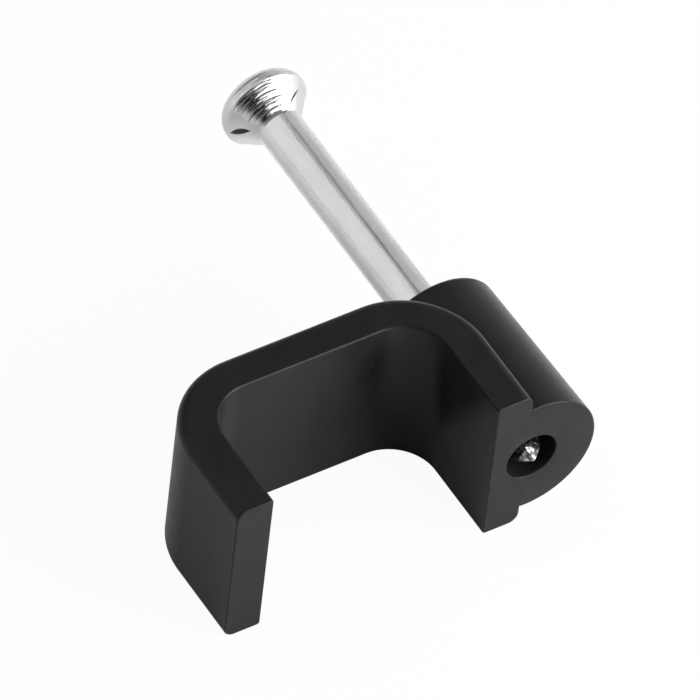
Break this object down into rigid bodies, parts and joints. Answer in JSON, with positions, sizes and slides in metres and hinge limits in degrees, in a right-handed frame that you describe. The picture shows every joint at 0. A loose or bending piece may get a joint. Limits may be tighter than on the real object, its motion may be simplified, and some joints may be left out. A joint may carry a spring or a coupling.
{
  "type": "nail-in cable clip",
  "caption": "Moulded C-shaped saddle clip for one flat cable, with a round boss on one leg that carries a plated round-head nail to be driven into the wall.",
  "frame": {"origin": "where the nail's axis meets the wall plane, at the middle of the clip's width", "axes": "+Y away from the wall along the nail towards its head, +Z along the cable, +X from the free hook towards the nail boss"},
  "size_m": [0.0177, 0.023, 0.0078],
  "materials": {
    "black_plastic": "satin moulded",
    "plated_steel": "bright zinc plated"
  },
  "bodies": {
    "clip": {"clip_body": "black_plastic"},
    "nail": {"nail": "plated_steel"}
  },
  "joints": [
    {"name": "nail_drive", "type": "slide", "parent": "clip", "child": "nail", "axis": [0, -1, 0], "range_m": [0, 0.0128]}
  ]
}
